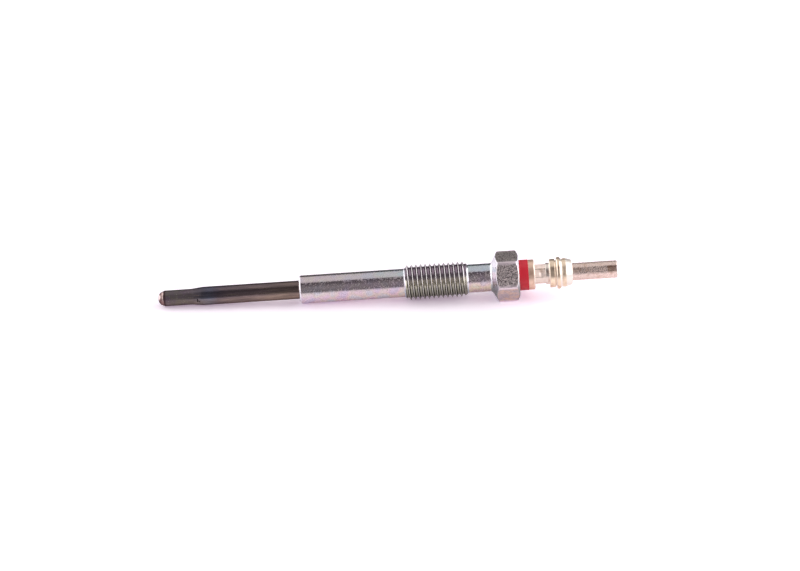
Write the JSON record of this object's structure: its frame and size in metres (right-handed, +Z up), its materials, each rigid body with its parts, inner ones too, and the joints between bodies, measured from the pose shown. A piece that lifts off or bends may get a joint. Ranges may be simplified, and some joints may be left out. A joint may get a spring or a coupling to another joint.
{
  "type": "diesel glow plug",
  "caption": "Slim diesel glow plug: drawn-down heater tube, plated threaded shell with hexagon, red insulating washer and slotted push-on terminal; preheats an engine cylinder.",
  "frame": {"origin": "on the plug's axis, at the sealing edge where the cone meets the shank", "axes": "+X along the plug's axis from the glowing tip towards the terminal, +Z up, square to a flat of the hexagon"},
  "size_m": [0.1248, 0.0138, 0.012],
  "materials": {
    "zinc_steel": "zinc plated, faintly iridescent",
    "tinted_alloy": "heat tinted brown and blue",
    "bare_weld": "bare weld metal",
    "coil_wire": "drawn wire",
    "magnesia": "packed powder",
    "seal_rubber": "matte",
    "rod_steel": "drawn bright",
    "red_plastic": "moulded, satin",
    "pale_nickel": "nickel plated, warm"
  },
  "bodies": {
    "root": {"shell": "zinc_steel", "glow_tube": "tinted_alloy", "tip_weld": "bare_weld", "heater_coil": "coil_wire", "control_coil": "coil_wire", "magnesia_fill": "magnesia", "tube_seal": "seal_rubber", "centre_rod": "rod_steel", "body_seal": "seal_rubber", "insulator": "red_plastic", "clamp_ring": "pale_nickel", "terminal_pin": "pale_nickel"}
  },
  "joints": []
}
